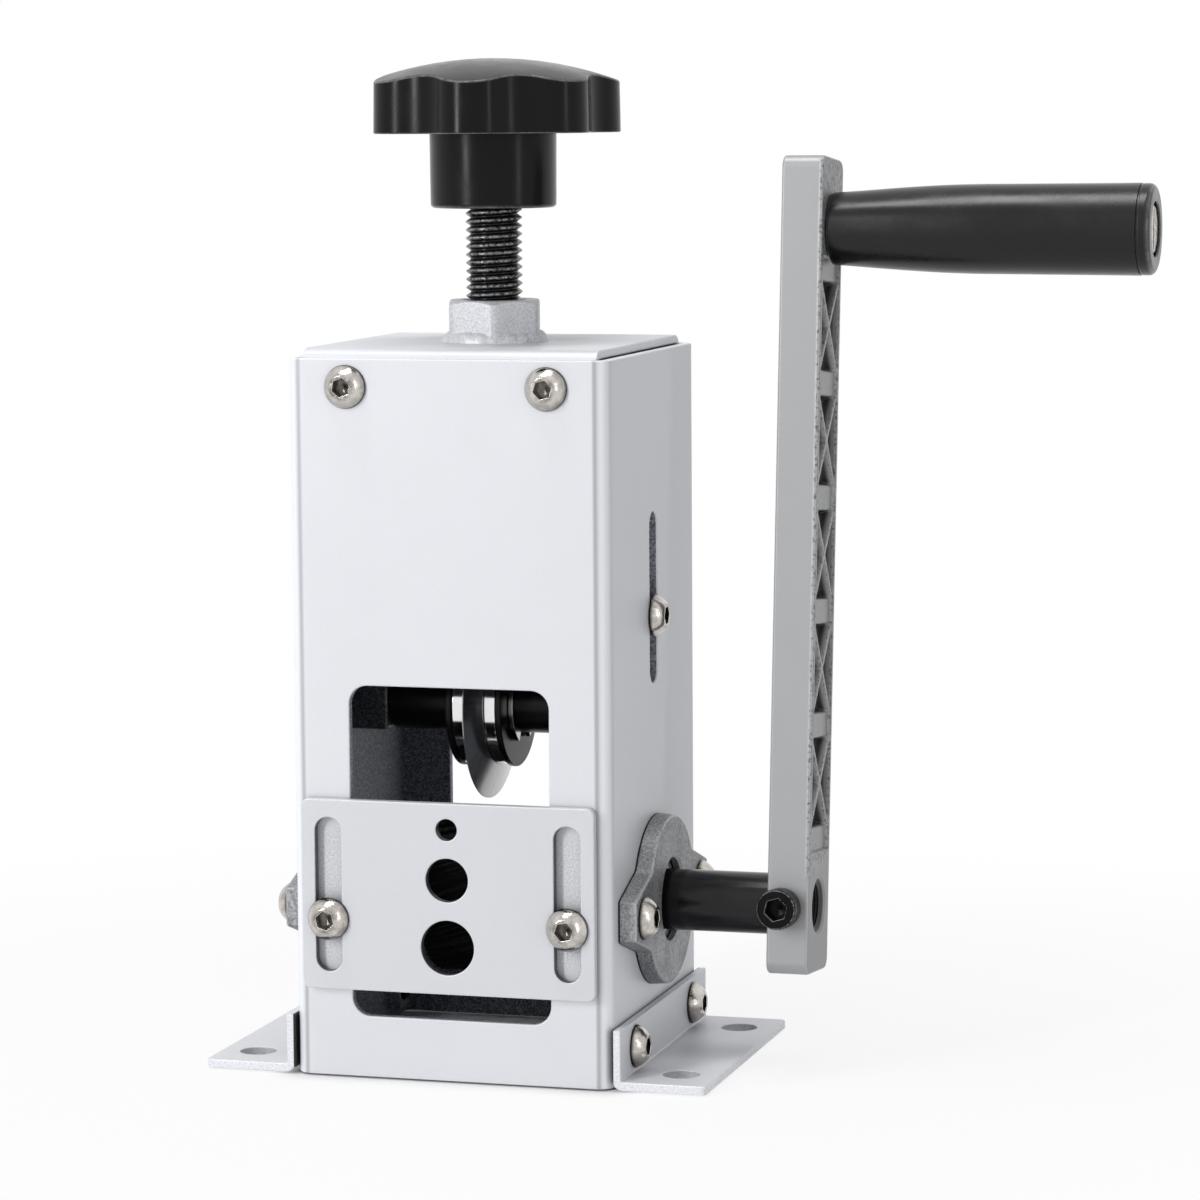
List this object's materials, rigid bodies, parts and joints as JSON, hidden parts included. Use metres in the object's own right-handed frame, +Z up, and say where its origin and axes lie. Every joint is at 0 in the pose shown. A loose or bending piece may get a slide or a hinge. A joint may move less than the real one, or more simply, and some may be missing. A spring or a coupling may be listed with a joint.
{
  "type": "hand crank wire stripper",
  "caption": "Bench wire stripper: a square upright housing with a round blade on a screw-set carrier above a knurled feed roller, turned by a long side crank with a free-turning grip.",
  "frame": {"origin": "middle of the outer box at the underside of the feet, on the surface that the tool stands on", "axes": "+X from the closed side to the crank and its grip, +Y from the guide plate at the front to the rear window, +Z up along the adjusting screw"},
  "size_m": [0.2232, 0.0892, 0.245],
  "materials": {
    "housing_paint": "silver-grey enamel with a fine grain, black on the inner faces",
    "cast_grey": "grey, cast and blasted",
    "arm_grey": "light grey, cast, with a fine grain",
    "black_steel": "black oxide, satin",
    "blade_steel": "dark ground steel with a bright bevel",
    "polished_steel": "turned and polished",
    "zinc_steel": "bright zinc plate",
    "knob_plastic": "black moulded, satin gloss",
    "grip_plastic": "black moulded, satin gloss"
  },
  "bodies": {
    "housing": {"housing_tube": "housing_paint", "lid": "housing_paint", "screw_nut": "housing_paint", "foot_left": "housing_paint", "foot_right": "housing_paint", "bearing_flange_left": "cast_grey", "bearing_flange_right": "cast_grey", "bearing_outer_left": "polished_steel", "bearing_outer_right": "polished_steel", "lid_screw_left_front": "zinc_steel", "lid_screw_left_back": "zinc_steel", "lid_screw_right_front": "zinc_steel", "lid_screw_right_back": "zinc_steel", "foot_screw_left_front": "zinc_steel", "foot_screw_left_back": "zinc_steel", "foot_screw_right_front": "zinc_steel", "foot_screw_right_back": "zinc_steel", "flange_screw_left_front": "zinc_steel", "flange_screw_left_back": "zinc_steel", "flange_screw_right_front": "zinc_steel", "flange_screw_right_back": "zinc_steel", "guide_screw_left": "zinc_steel", "guide_screw_right": "zinc_steel"},
    "guide": {"guide_plate": "housing_paint"},
    "carrier": {"blade_carrier": "black_steel", "carrier_screw_left": "zinc_steel", "carrier_screw_right": "zinc_steel", "blade_axle": "black_steel", "axle_grub_left": "black_steel", "axle_grub_right": "black_steel", "thrust_washer_left": "black_steel", "thrust_washer_right": "black_steel", "blade_clip_left": "polished_steel", "blade_clip_right": "polished_steel", "retainer_washer": "zinc_steel"},
    "blade": {"cutting_disc": "blade_steel", "blade_bush": "polished_steel", "blade_ring_left": "polished_steel", "blade_ring_right": "polished_steel"},
    "adjuster": {"adjusting_screw": "black_steel", "retainer_clip": "polished_steel", "star_knob": "knob_plastic"},
    "crank": {"drive_shaft": "black_steel", "drive_key": "zinc_steel", "feed_roller": "black_steel", "spacer_sleeve_left": "black_steel", "spacer_sleeve_right": "black_steel", "bearing_inner_left": "polished_steel", "bearing_inner_right": "polished_steel", "crank_arm": "arm_grey", "clamp_screw": "black_steel", "grip_bolt": "zinc_steel"},
    "hand_grip": {"grip": "grip_plastic"}
  },
  "joints": [
    {"name": "guide_slide", "type": "slide", "parent": "housing", "child": "guide", "axis": [0, 0, 1], "range_m": [-0.0205, 0.0094]},
    {"name": "carrier_slide", "type": "slide", "parent": "housing", "child": "carrier", "axis": [0, 0, 1], "range_m": [-0.0032, 0.0216]},
    {"name": "knob_turn", "type": "hinge", "parent": "carrier", "child": "adjuster", "pos_m": [-0.04845, 0.0013, 0.2], "axis": [0, 0, 1], "range_deg": [-576.5, 3889]},
    {"name": "blade_turn", "type": "hinge", "parent": "carrier", "child": "blade", "pos_m": [-0.05005, 0.0013, 0.0872], "axis": [1, 0, 0], "continuous": true},
    {"name": "crank_turn", "type": "hinge", "parent": "housing", "child": "crank", "pos_m": [-0.04845, 0.0013, 0.0395], "axis": [1, 0, 0], "continuous": true},
    {"name": "grip_turn", "type": "hinge", "parent": "crank", "child": "hand_grip", "pos_m": [0.07215, 0.01678, 0.20327], "axis": [1, 0, 0], "continuous": true}
  ],
  "couplings": [
    {"joint": "knob_turn", "follows": "carrier_slide", "rad_per_m": 3141.6}
  ]
}
